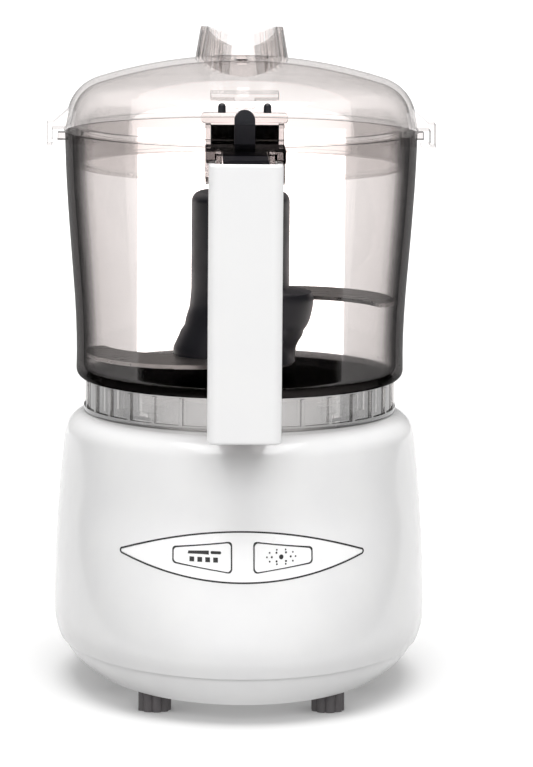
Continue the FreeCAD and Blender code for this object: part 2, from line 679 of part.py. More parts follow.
def bowl():
    lug = box(BOWL_TOP_R - 1.4, 65.4, 0.2, 7.0, 191.6, 194.2)
    lugs = [lug, turn(lug, 180)]
    outside = [shape.cut(inside_bowl()) for shape in (upper_arm(), lower_arm())]
    outside[1] = outside[1].cut(cyl(RING_R + 0.2, 80, BOWL_FLOOR_Z))
    return fuse([bowl_body()] + outside + lugs)


def locking_ring():
    wall = ring(RING_R - 0.8, RING_R - RING_WALL, RING_BOTTOM_Z, BOWL_FLOOR_Z)
    foot_bead = ring(RING_R, RING_R - RING_WALL, RING_BOTTOM_Z, RING_BOTTOM_Z + 1.6)
    ribs = polar(box(RING_R - 1.2, RING_R, -0.7, 0.7, RING_BOTTOM_Z, BOWL_FLOOR_Z - 0.6), RING_RIBS)
    lugs = polar(wedge(RING_R - 1.5, 50.7, 96.2, 98.8, 10), LUGS, 45)
    return fuse([wall, foot_bead] + ribs + lugs)


# ---- handle -------------------------------------------------------------------------------------
def handle_block(y0, y1):
    return box(-HANDLE_HALF, HANDLE_HALF, y0, y1, HANDLE_Z[0], HANDLE_Z[1])


def handle_shell(y0, y1, front):
    """Half of the handle, rounded down its two outer corners and softly round its ends."""
    shell = handle_block(y0, y1)
    outer_y = y0 if front else y1
    upright = [e for e in shell.Edges if e.BoundBox.ZLength > 50 and abs(e.BoundBox.YMin - outer_y) < 0.1]
    shell = shell.makeFillet(HANDLE_ROUND, upright)
    split_y = y1 if front else y0
    rims = [e for e in shell.Edges if e.BoundBox.ZLength < 0.1
            and (e.BoundBox.YLength > 0.1 or abs(e.BoundBox.YMin - split_y) > 0.1)]
    return shell.makeFillet(HANDLE_END_ROUND, rims)


def handle_outer():
    shell = handle_shell(-HANDLE_FRONT, -HANDLE_SPLIT, True)
    cavity = box(-10.5, 10.5, -101.8, -HANDLE_SPLIT + 1, HANDLE_Z[0] + 2.2, HANDLE_Z[1] + 1)
    posts = [Part.makeCylinder(2.6, 5.0, V(x, -102.4, z), V(0, 1, 0))
             for x, z in HANDLE_POSTS]
    shell = fuse([shell.cut(cavity)] + posts)
    return cut(shell, [Part.makeCylinder(1.0, 8.0, V(x, -101.4, z), V(0, 1, 0))
                       for x, z in HANDLE_POSTS])


def handle_inner():
    shell = handle_shell(-HANDLE_SPLIT, -HANDLE_BACK, False)
    cavity = box(-10.5, 10.5, -HANDLE_SPLIT - 1, -HANDLE_BACK - 2.2, HANDLE_Z[0] + 2.2, HANDLE_Z[1] + 1)
    shell = shell.cut(cavity)
    seat = box(-5.0, 5.0, -HANDLE_SPLIT, -HANDLE_BACK - 2, 118.0, 120.0)
    bosses = [Part.makeCylinder(3.0, 5.0, V(x, -92.6, z), V(0, 1, 0)) for x, z in HANDLE_POSTS]
    shell = fuse([shell] + bosses + [seat.cut(box(-1, 1, -99, -80, 110, 125))])
    holes = [box(-10.0, 10.0, -99, -80, ARM_FLOOR_Z + 0.2, 200),
             box(-8.1, 8.1, -99, -80, 97.0, 109.7)]
    holes += [Part.makeCylinder(1.3, 12.0, V(x, -96, z), V(0, 1, 0)) for x, z in HANDLE_POSTS]
    holes += [Part.makeCylinder(2.2, 3.0, V(x, -89.6, z), V(0, 1, 0)) for x, z in HANDLE_POSTS]
    return cut(shell, holes)


def handle_screws():
    out = []
    for x, z in HANDLE_POSTS:
        head = Part.makeCylinder(2.1, 1.8, V(x, -89.6, z), V(0, 1, 0))
        shank = Part.makeCylinder(0.95, 10.0, V(x, -99.4, z), V(0, 1, 0))
        out.append(fuse([head, shank]))
    return Part.makeCompound(out)


def interlock_rod():
    leg = box(-ROD_HALF, ROD_HALF, -ROD_Y[0], -ROD_Y[1], ROD_BAR_Z[0], 192.5)
    plate = box(-7.6, 7.6, -ROD_Y[0], -TONGUE_Y[1], 191.3, 193.3)
    tongue = box(-3.55, 3.55, -TONGUE_Y[0], -TONGUE_Y[1], 192.0, TONGUE_TOP_Z - 3.0)
    crown = Part.makeCylinder(3.55, TONGUE_Y[0] - TONGUE_Y[1],
                              V(0, -TONGUE_Y[0], TONGUE_TOP_Z - 3.55), V(0, 1, 0))
    bar = box(-ROD_HALF, ROD_HALF, -ROD_Y[0], -PIN_Y + 1.6, *ROD_BAR_Z)
    foot_pad = cyl(2.4, ROD_FOOT_Z, ROD_BAR_Z[0] + 1.0, 0, -PIN_Y)
    flange = box(-3.4, 3.4, -ROD_Y[0], -91.0, 139.0, 141.0)
    return fuse([leg, plate, tongue, crown, bar, foot_pad, flange])


def guide_pins():
    out = []
    for x in (-7.8, 7.8):
        pin = cyl(1.35, 206.4, 208.4, x, -64.1)
        out.append(fuse([pin, Part.makeSphere(1.35, V(x, -64.1, 208.4))]))
    return Part.makeCompound(out)


# ---- lid ----------------------------------------------------------------------------------------
def dome(drop):
    """Solid under the lid's outer skin, drawn in by drop: a steep side, a round shoulder, a shallow cap."""
    shoulder = at(51.5 - 0.5 * drop, 213.4 - drop)
    top_z = LID_TOP_Z - drop
    sag = top_z - shoulder.z
    cap_r = (shoulder.x ** 2 + sag ** 2) / (2 * sag)
    half_way = shoulder.x / 2
    cap_mid = at(half_way, top_z - cap_r + math.sqrt(cap_r ** 2 - half_way ** 2))
    edges = [
        line(at(0, LID_EDGE_Z), at(LID_EDGE_R - drop, LID_EDGE_Z)),
        line(at(LID_EDGE_R - drop, LID_EDGE_Z), at(62.0 - drop, 202.0)),
        arc(at(62.0 - drop, 202.0), at(58.6 - 0.8 * drop, 208.8 - 0.6 * drop), shoulder),
        arc(shoulder, cap_mid, at(0, top_z)),
        line(at(0, top_z), at(0, LID_EDGE_Z)),
    ]
    return turned(edges)


def oval(half_x, half_y, z):
    ellipse = Part.Ellipse(V(0, half_y, z), V(half_x, 0, z), V(0, 0, z))
    return Part.Wire(ellipse.toShape())


def cup_body(inset):
    low, high = 210.0, 240.0
    slope_x = (CUP_BASE[0] - CUP_RIM[0]) / (CUP_PEAK_Z - 220.6)
    slope_y = (CUP_BASE[1] - CUP_RIM[1]) / (CUP_PEAK_Z - 220.6)
    wires = []
    for z in (low, high):
        half_x = CUP_BASE[0] - slope_x * (z - 220.6) - inset
        half_y = CUP_BASE[1] - slope_y * (z - 220.6) - inset
        wires.append(oval(half_x, half_y, z))
    return Part.makeLoft(wires, True, True)


def cup_flutes():
    """Upright grooves round the two sides of the cup."""
    grooves = []
    for i in range(-7, 8):
        t = math.radians(8.5 * i)
        for side in (-1, 1):
            x = side * CUP_BASE[0] * math.cos(t)
            y = CUP_BASE[1] * math.sin(t)
            groove = Part.makeCone(0.85, 0.55, 20.0, V(x, y, 217.5), V(-x * 0.1 / 11, -y * 0.1 / 11, 1.0))
            grooves.append(groove)
    return grooves


def saddle():
    """Space under the cup's rim surface: highest over the blade axis, lower to front and back."""
    reach = 45.0
    dip = CUP_DIP * (reach / CUP_RIM[1]) ** 2
    top = Part.Arc(V(-30, -reach, CUP_PEAK_Z - dip), V(-30, 0, CUP_PEAK_Z), V(-30, reach, CUP_PEAK_Z - dip))
    corners = [V(-30, reach, CUP_PEAK_Z - dip), V(-30, reach, 200), V(-30, -reach, 200),
               V(-30, -reach, CUP_PEAK_Z - dip)]
    edges = [top.toShape()] + [line(corners[i], corners[i + 1]) for i in range(3)]
    return Part.Face(Part.Wire(edges)).extrude(V(60, 0, 0))


def cup():
    wall = cup_body(0.0).cut(cup_body(2.2)).common(saddle())
    return wall.cut(Part.makeCompound(cup_flutes()))


def lid_cam():
    """Shelf on the lid's front with rounded corners, and the rib under it that presses the tongue."""
    shelf = box(-CAM_HALF, CAM_HALF, -CAM_FRONT, -48.0, *CAM_Z)
    corners = [e for e in shelf.Edges if e.BoundBox.ZLength > 1 and e.BoundBox.YMax < -CAM_FRONT + 1]
    shelf = shelf.makeFillet(4.5, corners)
    rib = box(-ROD_HALF, ROD_HALF, -TONGUE_Y[0], -50.0, TONGUE_TOP_Z + 0.4, CAM_Z[0] + 0.5)
    return shelf.fuse(rib).cut(dome(LID_WALL * 0.5))


def ear():
    """Clear catch at the lid's side: a ramp, an outer wall, and a lip beside the bowl's lug."""
    block = box(61.8, EAR_R, -8.0, 8.0, 189.5, 197.7)
    corner = prism([(61.0, 197.0), (EAR_R - 1.6, 197.0), (62.0, 202.0), (60.0, 202.0)], -8.0, 8.0)
    corner.rotate(V(0, 0, 0), V(1, 0, 0), 90)
    pocket = box(60.0, 67.5, -10.0, 10.0, 185.0, 195.4)
    lip = box(64.0, 68.0, -7.4, -1.0, 189.5, 191.0)
    body = fuse([block.cut(pocket), corner, lip])
    return body.cut(dome(LID_WALL * 0.5))


def beads():
    """Rows of small raised beads on the lid's two front shoulders."""
    rows = []
    for k in range(3):
        r = 45.0 - 6.0 * k
        for i in range(8 - k):
            a = math.radians(24 + 4 * k + 7.5 * i)
            for side in (-1, 1):
                rows.append(cyl(1.1, 210.0, 215.3 + 1.35 * k, side * r * math.sin(a), -r * math.cos(a)))
    return Part.makeCompound(rows)


def lid():
    shell = dome(0.0).cut(dome(LID_WALL))
    collar = ring(COLLAR_R - 0.2, COLLAR_R - LID_WALL, COLLAR_Z + COLLAR_BEAD, LID_EDGE_Z + 1.5)
    bead = Part.makeTorus(COLLAR_R - COLLAR_BEAD, COLLAR_BEAD, V(0, 0, COLLAR_Z + COLLAR_BEAD))
    flange = ring(62.0, COLLAR_R - LID_WALL, LID_EDGE_Z, LID_EDGE_Z + 1.8)
    studs = beads().cut(dome(0.8))
    catches = [ear(), turn(ear(), 180)]
    body = shell.fuse([flange, collar, bead, cup().cut(dome(1.0)), lid_cam(), studs] + catches)
    pour = [cyl(2.6, 200, 240, 0, y) for y in (-8, 8)]
    return cut(body, pour)


# ---- blade --------------------------------------------------------------------------------------
def blade_plan():
    """Crescent blade for the +X side: root behind the hub, tip swept round to the front."""
    def on(r, degrees):
        return V(r * math.cos(math.radians(degrees)), r * math.sin(math.radians(degrees)), 0)
    outer = Part.Arc(on(31.0, 84), on(47.5, 33), on(BLADE_TIP_R, -9)).toShape()
    tip = Part.Arc(on(BLADE_TIP_R, -9), on(BLADE_TIP_R - 0.5, -16), on(BLADE_TIP_R - 3.6, -20)).toShape()
    inner = Part.Arc(on(BLADE_TIP_R - 3.6, -20), on(34.0, 1), on(13.5, 18)).toShape()
    root = [line(on(13.5, 18), on(13.5, 96)), line(on(13.5, 96), on(31.0, 84))]
    return Part.Wire([outer, tip, inner] + root)


def blade(z, lower):
    plate = Part.Face(blade_plan()).extrude(V(0, 0, BLADE_T))
    solid = plate.cut(cyl(10.6, -5, 5))
    if lower:
        solid = turn(solid, 180)
    solid.translate(V(0, 0, z))
    return solid


def blade_hub():
    stem = cyl(HUB_R, HUB_Z[0] + 3, HUB_Z[1])
    stem = stem.makeFillet(3.6, [e for e in stem.Edges if e.BoundBox.ZMin > HUB_Z[1] - 0.5])
    foot_ring = Part.makeCone(HUB_R + 3.4, HUB_R, 24.0, V(0, 0, HUB_Z[0] + 4.0))
    base = cyl(HUB_R + 3.4, HUB_Z[0], HUB_Z[0] + 4.0)
    upper_seat = wedge(27.4, 10, UPPER_BLADE_Z - 9.0, UPPER_BLADE_Z + 4.2, 36)
    upper_seat = turn(upper_seat, 20)
    lower_seat = wedge(25.0, 10, HUB_Z[0], LOWER_BLADE_Z + 5.0, 38)
    lower_seat = turn(lower_seat, 200)
    hub = fuse([stem, foot_ring, base, upper_seat, lower_seat])
    bore = cyl(BOWL_TUBE_R + 0.5, HUB_Z[0] - 1, BOWL_TUBE_TOP_Z + 1.0)
    socket = hexagon(9.5, BOWL_TUBE_TOP_Z, 162.0)
    hub = cut(hub, [bore, socket])
    return cut(hub, [blade(UPPER_BLADE_Z, False), blade(LOWER_BLADE_Z, True)])


# ---- write every piece --------------------------------------------------------------------------
def main():
    save("base_housing", base_housing())
    save("bottom_cover", bottom_cover())
    save("bottom_screws", bottom_screws())
    for (x, y), name in zip(FEET, ("foot_front_left", "foot_front_right", "foot_back_left", "foot_back_right")):
        save(name, foot(x, y))
    save("cord_gland", cord_gland())
    save("control_panel", control_panel())
    save("left_key", key(-1))
    save("right_key", key(1))
    save("circuit_board", circuit_board())
    save("key_switches", key_switches())
    save("gear_plate", gear_plate())
    save("plate_screws", plate_screws())
    save("field_core", stator_core())
    save("field_coils", field_coils())
    save("motor_bracket", motor_end_bracket())
    save("motor_screws", motor_screws())
    save("armature", armature())
    save("commutator", commutator())
    save("brushes", brushes())
    save("motor_shaft", cyl(SHAFT_R, 14.8, GEAR_Z[1] + 2, 0, MOTOR_Y))
    save("motor_pinion", motor_pinion())
    save("upper_motor_bearing", bush(BEARING_R, SHAFT_R, PLATE_Z[0] - 1.5, PLATE_Z[1], MOTOR_Y))
    save("lower_motor_bearing", bush(BEARING_R, SHAFT_R, *LOWER_BEARING_Z, MOTOR_Y))
    save("driven_gear", driven_gear())
    save("drive_spindle", drive_spindle())
    save("lower_spindle_bush", bush(BUSH_R, SPINDLE_R, PLATE_Z[0] - 6, PLATE_Z[1]))
    save("upper_spindle_bush", bush(NOSE_BORE_R, SPINDLE_R, SEAL_Z - 10, SEAL_Z))
    save("spindle_seal", bush(NOSE_BORE_R, SPINDLE_R, SEAL_Z, BOSS_TOP_Z + 1.4))
    save("drive_coupling", drive_coupling())
    save("base_interlock_pin", base_interlock_pin())
    save("pin_spring", spring(2.5, 0.3, PIN_FLANGE_Z[0] - 7.9, PIN_FLANGE_Z[0] - 0.1, 5, 0, -PIN_Y))
    save("interlock_switch", interlock_switch())
    save("bowl", bowl())
    save("locking_ring", locking_ring())
    save("handle_outer", handle_outer())
    save("handle_inner", handle_inner())
    save("handle_screws", handle_screws())
    save("interlock_rod", interlock_rod())
    save("rod_spring", spring(1.4, 0.3, 120.1, 138.9, 9, 0, -93.0))
    save("guide_pins", guide_pins())
    save("lid", lid())
    save("blade_hub", blade_hub())
    save("upper_blade", blade(UPPER_BLADE_Z, False))
    save("lower_blade", blade(LOWER_BLADE_Z, True))


main()
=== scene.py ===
import json
import math
import bpy
import bmesh
from mathutils import Matrix, Vector

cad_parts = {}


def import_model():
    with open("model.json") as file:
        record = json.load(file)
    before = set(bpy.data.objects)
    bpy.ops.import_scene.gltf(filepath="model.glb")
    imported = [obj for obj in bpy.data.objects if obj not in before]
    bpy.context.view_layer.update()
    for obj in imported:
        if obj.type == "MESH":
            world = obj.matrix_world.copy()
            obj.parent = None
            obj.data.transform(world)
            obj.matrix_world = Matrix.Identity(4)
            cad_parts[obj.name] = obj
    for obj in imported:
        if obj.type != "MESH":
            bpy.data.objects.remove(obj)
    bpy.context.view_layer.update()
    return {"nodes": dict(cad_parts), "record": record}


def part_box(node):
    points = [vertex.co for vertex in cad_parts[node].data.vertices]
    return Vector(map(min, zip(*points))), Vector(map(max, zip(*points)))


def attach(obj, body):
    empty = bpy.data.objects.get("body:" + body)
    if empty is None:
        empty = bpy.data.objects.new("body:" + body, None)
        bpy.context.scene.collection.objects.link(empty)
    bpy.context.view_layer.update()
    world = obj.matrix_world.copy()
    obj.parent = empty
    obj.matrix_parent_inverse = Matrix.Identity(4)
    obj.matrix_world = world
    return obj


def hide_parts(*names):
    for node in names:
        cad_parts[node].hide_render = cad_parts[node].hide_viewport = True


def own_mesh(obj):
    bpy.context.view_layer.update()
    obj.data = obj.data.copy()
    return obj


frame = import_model()

MM = 0.001


# ---- places read from the frame ------------------------------------------------------------------
def corners(node):
    """Lowest and highest corner of a node, in millimetres."""
    low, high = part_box(node)
    return [c / MM for c in low], [c / MM for c in high]


def middle_y(node):
    low, high = corners(node)
    return (low[1] + high[1]) / 2


AXIS_Y = middle_y("drive_spindle")          # blade axis; every piece below is drawn about it


# ---- materials -----------------------------------------------------------------------------------
class Nodes:
    """A material's node tree, with short ways to add and join nodes."""

    def __init__(self, name):
        self.material = bpy.data.materials.new(name)
        self.material.use_nodes = True
        self.tree = self.material.node_tree
        self.tree.nodes.clear()
        self.out = self.add("ShaderNodeOutputMaterial")
        self.place = self.add("ShaderNodeTexCoord").outputs["Object"]

    def add(self, kind, **values):
        node = self.tree.nodes.new(kind)
        for key, value in values.items():
            setattr(node, key, value)
        return node

    def join(self, source, target):
        self.tree.links.new(source, target)

    def noise(self, scale, detail=3.0, roughness=0.55, stretch=None):
        """Noise about 1/scale metres across, stretched along the axes if asked."""
        node = self.add("ShaderNodeTexNoise")
        node.inputs["Scale"].default_value = scale
        node.inputs["Detail"].default_value = detail
        node.inputs["Roughness"].default_value = roughness
        source = self.place
        if stretch:
            mapping = self.add("ShaderNodeMapping")
            mapping.inputs["Scale"].default_value = stretch
            self.join(self.place, mapping.inputs["Vector"])
            source = mapping.outputs["Vector"]
        self.join(source, node.inputs["Vector"])
        return node.outputs["Fac"]

    def ramp(self, source, stops, ease="LINEAR"):
        node = self.add("ShaderNodeValToRGB")
        node.color_ramp.interpolation = ease
        while len(node.color_ramp.elements) < len(stops):
            node.color_ramp.elements.new(0.5)
        for element, (place, colour) in zip(node.color_ramp.elements, stops):
            element.position = place
            element.color = (*colour, 1.0)
        self.join(source, node.inputs["Fac"])
        return node.outputs["Color"]

    def spread(self, source, low, high):
        """Maps 0.3 to 0.7, the range that noise really has, to low to high."""
        node = self.add("ShaderNodeMapRange")
        node.inputs["From Min"].default_value = 0.3
        node.inputs["From Max"].default_value = 0.7
        node.inputs["To Min"].default_value = low
        node.inputs["To Max"].default_value = high
        self.join(source, node.inputs["Value"])
        return node.outputs["Result"]

    def bump(self, source, depth, strength=1.0):
        node = self.add("ShaderNodeBump")
        node.inputs["Distance"].default_value = depth
        node.inputs["Strength"].default_value = strength
        self.join(source, node.inputs["Height"])
        return node.outputs["Normal"]

    def principled(self, **values):
        node = self.add("ShaderNodeBsdfPrincipled")
        for key, value in values.items():
            node.inputs[key.replace("_", " ")].default_value = value
        return node

    def finish(self, shader):
        self.join(shader, self.out.inputs["Surface"])
        return self.material


def moulded(name, light, dark, rough, grain=900.0, depth=0.00001, blotch=60.0, **values):
    """Opaque moulded plastic or rubber: two close tones, uneven gloss and a fine moulded grain."""
    n = Nodes(name)
    shader = n.principled(**values)
    tone = n.noise(blotch)
    n.join(n.ramp(tone, [(0.35, dark), (0.65, light)]), shader.inputs["Base Color"])
    n.join(n.spread(n.noise(blotch * 2.2), *rough), shader.inputs["Roughness"])
    n.join(n.bump(n.noise(grain, detail=2.0), depth), shader.inputs["Normal"])
    return n.finish(shader.outputs["BSDF"])


def metal(name, light, dark, rough, stretch, depth=0.00001, **values):
    """Metal with fine marks drawn out along one direction."""
    n = Nodes(name)
    shader = n.principled(Metallic=1.0, **values)
    marks = n.noise(500.0, detail=6.0, stretch=stretch)
    n.join(n.ramp(marks, [(0.35, dark), (0.65, light)]), shader.inputs["Base Color"])
    n.join(n.spread(marks, *rough), shader.inputs["Roughness"])
    n.join(n.bump(marks, depth), shader.inputs["Normal"])
    return n.finish(shader.outputs["BSDF"])


def clear(name, walls, levels, level_top, gloss, level_gloss, rough, depth_tint, density):
    """Clear plastic. It darkens with the depth looked through and where a face is seen edge on.

    walls and levels are the tints, from square on to edge on, of upright faces and of faces that lie flat,
    which count as such only below level_top metres. Their darkening towards edge on is partly the longer path
    through the tinted plastic and partly painted shade, standing in for the dark rims that refraction gives.
    gloss is the mirror share at no and at full Fresnel, and level_gloss what is left of it on flat faces."""
    n = Nodes(name)
    weight = n.add("ShaderNodeLayerWeight")
    weight.inputs["Blend"].default_value = 0.5
    facing = weight.outputs["Facing"]
    normal = n.add("ShaderNodeSeparateXYZ")
    n.join(n.add("ShaderNodeNewGeometry").outputs["Normal"], normal.inputs["Vector"])
    level = n.add("ShaderNodeMath", operation="ABSOLUTE")
    n.join(normal.outputs["Z"], level.inputs[0])
    height = n.add("ShaderNodeSeparateXYZ")
    n.join(n.place, height.inputs["Vector"])
    low = n.add("ShaderNodeMath", operation="LESS_THAN")
    low.inputs[1].default_value = level_top
    n.join(height.outputs["Z"], low.inputs[0])
    flat = n.add("ShaderNodeMath", operation="MULTIPLY")
    n.join(level.outputs["Value"], flat.inputs[0])
    n.join(low.outputs["Value"], flat.inputs[1])
    # mixes the upright and the flat ramps: the plastic's tint, with painted shade towards edge-on faces
    tint_and_shade = n.add("ShaderNodeMix", data_type="RGBA")
    n.join(flat.outputs["Value"], tint_and_shade.inputs["Factor"])
    n.join(n.ramp(facing, walls), tint_and_shade.inputs["A"])
    n.join(n.ramp(facing, levels), tint_and_shade.inputs["B"])
    through = n.add("ShaderNodeBsdfTransparent")
    n.join(tint_and_shade.outputs["Result"], through.inputs["Color"])
    shine = n.principled(Metallic=1.0)
    shine.inputs["Base Color"].default_value = (0.95, 0.95, 0.95, 1.0)
    n.join(n.spread(n.noise(40.0), *rough), shine.inputs["Roughness"])
    share = n.add("ShaderNodeMapRange")
    share.inputs["To Min"].default_value = gloss[0]
    share.inputs["To Max"].default_value = gloss[1]
    glance = n.add("ShaderNodeFresnel")
    glance.inputs["IOR"].default_value = 1.5
    n.join(glance.outputs["Fac"], share.inputs["Value"])
    lying = n.add("ShaderNodeMapRange")
    lying.inputs["To Min"].default_value = 1.0
    lying.inputs["To Max"].default_value = level_gloss
    n.join(flat.outputs["Value"], lying.inputs["Value"])
    shining = n.add("ShaderNodeMath", operation="MULTIPLY")
    n.join(share.outputs["Result"], shining.inputs[0])
    n.join(lying.outputs["Result"], shining.inputs[1])
    mix = n.add("ShaderNodeMixShader")
    n.join(shining.outputs["Value"], mix.inputs["Fac"])
    n.join(through.outputs["BSDF"], mix.inputs[1])
    n.join(shine.outputs["BSDF"], mix.inputs[2])
    depth = n.add("ShaderNodeVolumeAbsorption")
    depth.inputs["Color"].default_value = (*depth_tint, 1.0)
    depth.inputs["Density"].default_value = density
    n.join(depth.outputs["Volume"], n.out.inputs["Volume"])
    return n.finish(mix.outputs["Shader"])


def greys(*stops):
    """Ramp stops of a faintly warm grey."""
    return [(place, (value, value * 0.985, value * 0.98)) for place, value in stops]


FLOOR_TOP = 0.13         # level faces of the bowl under this height, in metres, are its floor
ANY_HEIGHT = 1.0

MATERIALS = {
    # The base, the handle and the panel are one white plastic. The gloss white is set darker as painted
    # shade, for the weaker light low on the base. The handle and panel whites are set lighter as painted
    # light, the panel's for its upward slope.
    "white_gloss": moulded("gloss_white_painted_shade", (0.85, 0.85, 0.85), (0.83, 0.83, 0.835), (0.2, 0.27),
                           Coat_Weight=0.35, Coat_Roughness=0.06),
    "white_handle": moulded("handle_white_painted_light", (0.97, 0.97, 0.97), (0.955, 0.955, 0.96), (0.3, 0.38)),
    "panel": moulded("panel_white_painted_light", (0.96, 0.96, 0.96), (0.945, 0.945, 0.95), (0.26, 0.33)),
    "key_cap": moulded("key_white", (0.96, 0.96, 0.96), (0.945, 0.945, 0.95), (0.28, 0.36)),
    "charcoal": moulded("hub_charcoal", (0.013, 0.014, 0.019), (0.009, 0.01, 0.015), (0.3, 0.42),
                        grain=1500.0, depth=0.00002),
    "rubber": moulded("foot_rubber", (0.12, 0.11, 0.115), (0.085, 0.08, 0.082), (0.55, 0.7), grain=1800.0,
                      depth=0.00003),
    "carbon": moulded("carbon_block", (0.03, 0.03, 0.03), (0.015, 0.015, 0.015), (0.5, 0.7)),
    "grey_nylon": moulded("grey_nylon", (0.35, 0.35, 0.34), (0.28, 0.28, 0.27), (0.4, 0.55)),
    "pcb": moulded("board_green", (0.02, 0.11, 0.05), (0.015, 0.08, 0.035), (0.35, 0.5)),
    "blade_steel": metal("blade_steel", (0.46, 0.44, 0.43), (0.4, 0.385, 0.375), (0.26, 0.32),
                         (0.15, 1.0, 1.0)),
    "steel": metal("zinc_steel", (0.6, 0.6, 0.6), (0.45, 0.45, 0.46), (0.25, 0.4), (1.0, 1.0, 0.2)),
    "spring_steel": metal("spring_wire", (0.55, 0.55, 0.56), (0.4, 0.4, 0.42), (0.25, 0.4), (1.0, 1.0, 1.0)),
    "laminations": metal("laminations", (0.3, 0.3, 0.31), (0.15, 0.15, 0.16), (0.4, 0.6), (0.1, 0.1, 3.0)),
    "copper": metal("enamelled_copper", (0.75, 0.36, 0.18), (0.55, 0.24, 0.11), (0.25, 0.4), (1.0, 0.2, 1.0)),
    "bronze": metal("sintered_bronze", (0.6, 0.42, 0.2), (0.4, 0.27, 0.13), (0.45, 0.6), (1.0, 1.0, 1.0)),
    "zinc": metal("die_cast_zinc", (0.5, 0.5, 0.51), (0.38, 0.38, 0.4), (0.4, 0.55), (1.0, 1.0, 1.0)),
    # In the clear plastics the dark ends of the ramps are painted shade: the dark rims of bowl and lid, the
    # dark lines of the ring's ribs and the dark floor of the bowl. The bowl's drop between 0.6 and 0.74
    # paints the sides of its bright middle.
    "smoky_clear": clear("bowl_clear",
                         greys((0.0, 0.99), (0.52, 0.96), (0.6, 0.87), (0.66, 0.64), (0.74, 0.45),
                               (1.0, 0.15)),
                         greys((0.0, 0.99), (0.6, 0.85), (0.85, 0.12), (1.0, 0.06)), FLOOR_TOP,
                         (-0.02, 0.14), 0.15,
                         (0.01, 0.03), (0.8, 0.793, 0.793), 230.0),
    "lid_clear": clear("lid_clear", greys((0.0, 0.995), (0.6, 0.98), (0.8, 0.8), (0.9, 0.3), (1.0, 0.1)),
                       greys((0.0, 0.995), (0.7, 0.98), (0.9, 0.93), (1.0, 0.6)), ANY_HEIGHT,
                       (-0.015, 0.45), 0.6,
                       (0.02, 0.05), (0.8, 0.79, 0.79), 22.0),
    "ring_clear": clear("ring_clear", greys((0.0, 0.95), (0.4, 0.72), (0.7, 0.22), (1.0, 0.04)),
                        greys((0.0, 0.8), (1.0, 0.2)), ANY_HEIGHT, (0.22, 0.9), 1.0,
                        (0.03, 0.08), (0.8, 0.79, 0.77),
                        100.0),
}


def dress_nodes():
    """Every CAD node gets the finish of its slot in the record."""
    for entry in frame["record"]["subparts"]:
        mesh = frame["nodes"][entry["node"]].data
        mesh.materials.clear()
        mesh.materials.append(MATERIALS[entry["material_slot"]])


# ---- mesh kit ------------------------------------------------------------------------------------
def skin(rings, closed=False):
    """Quads between rings of equal length. closed joins the last ring to the first, else both are capped."""
    size, count = len(rings[0]), len(rings)
    points = [point for ring in rings for point in ring]
    faces = []
    for i in range(count if closed else count - 1):
        a, b = i * size, (i + 1) % count * size
        for j in range(size):
            k = (j + 1) % size
            faces.append((a + j, a + k, b + k, b + j))
    if not closed:
        faces.append(tuple(reversed(range(size))))
        faces.append(tuple(range((count - 1) * size, count * size)))
    return points, faces


def circle(radius, z, steps=96, centre=(0.0, 0.0)):
    """Ring of points; radius is a length or a function of the angle."""
    out = []
    for i in range(steps):
        a = 2 * math.pi * i / steps
        r = radius(a) if callable(radius) else radius
        out.append((centre[0] + r * math.cos(a), centre[1] + r * math.sin(a), z))
    return out


def piece(name, solids, body, material, replaces=(), smooth=35.0):
    """Joins solids drawn about the blade axis in millimetres into one object that rides on a body."""
    mesh = bpy.data.meshes.new(name)
    points, faces = [], []
    for solid_points, solid_faces in solids:
        base = len(points)
        points += [(x * MM, (y + AXIS_Y) * MM, z * MM) for x, y, z in solid_points]
        faces += [tuple(base + i for i in face) for face in solid_faces]
    mesh.from_pydata(points, [], faces)
    work = bmesh.new()
    work.from_mesh(mesh)
    bmesh.ops.recalc_face_normals(work, faces=work.faces)
    work.to_mesh(mesh)
    work.free()
    obj = bpy.data.objects.new(name, mesh)
    bpy.context.collection.objects.link(obj)
    return dress(obj, body, material, replaces, smooth)


def dress(obj, body, material, replaces=(), smooth=35.0):
    obj.data.materials.clear()
    obj.data.materials.append(material)
    obj.data.shade_smooth()
    obj.data.set_sharp_from_angle(angle=math.radians(smooth))
    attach(obj, body)
    if replaces:
        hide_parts(*replaces)
    return obj


# ---- blade hub -----------------------------------------------------------------------------------
HUB_LOW, HUB_HIGH = corners("blade_hub")
HUB_BOTTOM, HUB_TOP = HUB_LOW[2], HUB_HIGH[2]
HUB_STEM_R = 17.6
HUB_BORE_R = 9.9
HUB_BORE_TOP = 151.0
HUB_CORNER = 3.6


def along(stops, z):
    """Value at z on a smooth curve through (z, value) stops, which rise in z."""
    if z <= stops[0][0]:
        return stops[0][1]
    for (z0, v0), (z1, v1) in zip(stops, stops[1:]):
        if z <= z1:
            f = (z - z0) / (z1 - z0)
            return v0 + (v1 - v0) * f * f * (3 - 2 * f)
    return stops[-1][1]


UPPER_WING = [(111, 1.8), (117, 2.8), (122, 5.4), (127, 8.0), (131, 8.9),
              (134.5, 9.3), (136.6, 8.4), (138.4, 0.0)]
LOWER_WING = [(111, 5.4), (113.5, 6.6), (117, 6.5), (121, 4.6), (126, 2.1), (133, 0.4), (138, 0.0)]
FOOT_FLARE = [(111, 2.4), (114, 1.9), (119, 0.7), (126, 0.0)]


def lobe(angle, middle, spread):
    """1 at the middle angle, falling smoothly to 0 at spread degrees each side."""
    off = (math.degrees(angle) - middle + 180) % 360 - 180
    return math.cos(off / spread * math.pi / 2) ** 0.8 if abs(off) < spread else 0.0


